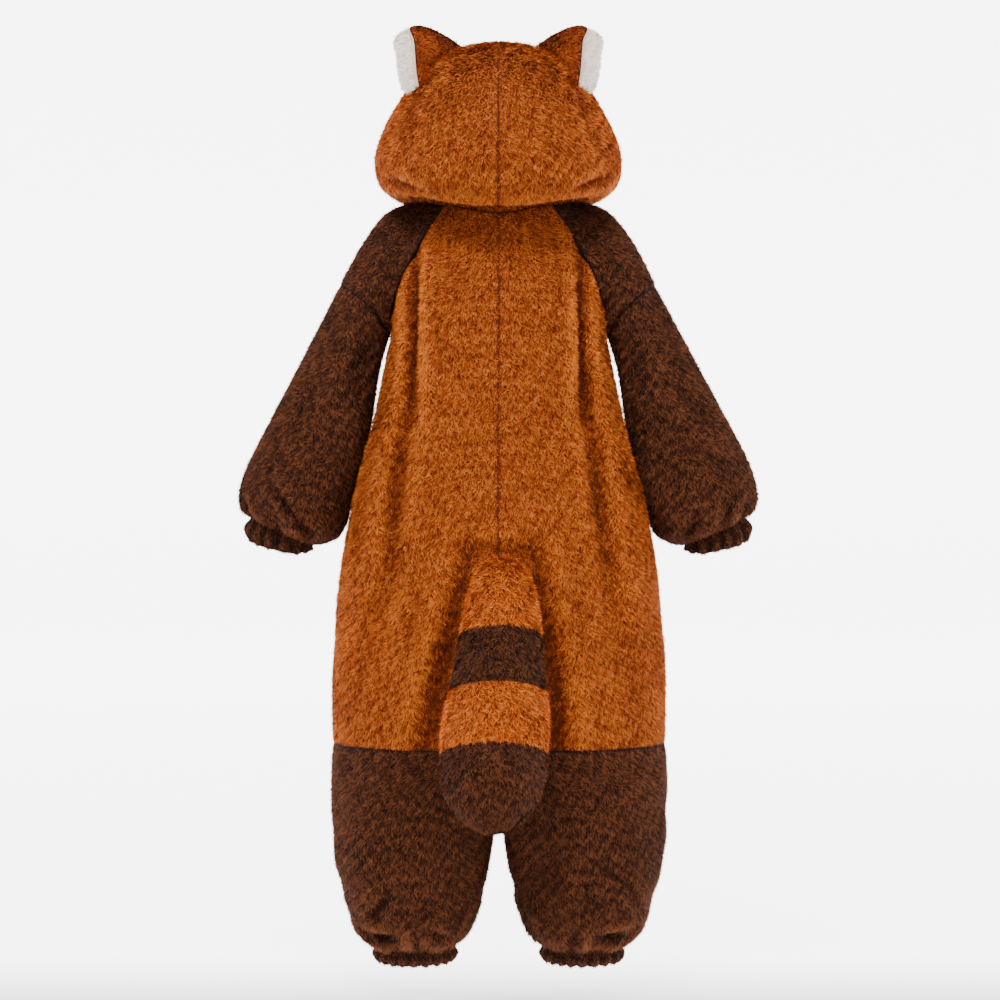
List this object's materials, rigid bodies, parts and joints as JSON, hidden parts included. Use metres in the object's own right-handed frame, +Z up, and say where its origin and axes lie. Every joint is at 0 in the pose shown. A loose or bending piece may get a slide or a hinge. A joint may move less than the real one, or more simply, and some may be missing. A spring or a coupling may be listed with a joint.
{
  "type": "red panda onesie",
  "caption": "Child's hooded plush onesie in red panda colours, filled out as worn, with ears, raglan sleeves, ribbed cuffs, a buttoned front and a stuffed ringed tail.",
  "frame": {"origin": "middle of the neck opening at the height of the shoulders, where the wearer's shoulders carry the garment", "axes": "+Z up, -Y out of the chest, +X to the wearer's left"},
  "size_m": [0.6234, 0.3684, 1.1147],
  "materials": {
    "rust_plush": "deep coral fleece",
    "brown_plush": "deep coral fleece",
    "brown_cuff": "coral fleece drawn in by elastic",
    "white_plush": "deep coral fleece",
    "button": "satin"
  },
  "bodies": {
    "root": {"back_left": "rust_plush", "back_right": "rust_plush", "front_left": "rust_plush", "front_right": "rust_plush", "hood_left": "rust_plush", "hood_right": "rust_plush", "neck_band": "rust_plush", "ear_back_left": "rust_plush", "ear_back_right": "rust_plush", "tail_root": "rust_plush", "tail_middle": "rust_plush", "placket": "rust_plush", "sleeve_yoke_left": "brown_plush", "sleeve_yoke_right": "brown_plush", "sleeve_back_left": "brown_plush", "sleeve_back_right": "brown_plush", "sleeve_front_left": "brown_plush", "sleeve_front_right": "brown_plush", "leg_back_left": "brown_plush", "leg_back_right": "brown_plush", "leg_front_left": "brown_plush", "leg_front_right": "brown_plush", "tail_ring": "brown_plush", "tail_tip": "brown_plush", "sleeve_cuff_left": "brown_cuff", "sleeve_cuff_right": "brown_cuff", "leg_cuff_left": "brown_cuff", "leg_cuff_right": "brown_cuff", "ear_front_left": "white_plush", "ear_front_right": "white_plush", "button_1": "button", "button_2": "button", "button_3": "button", "button_4": "button", "button_5": "button"}
  },
  "joints": []
}
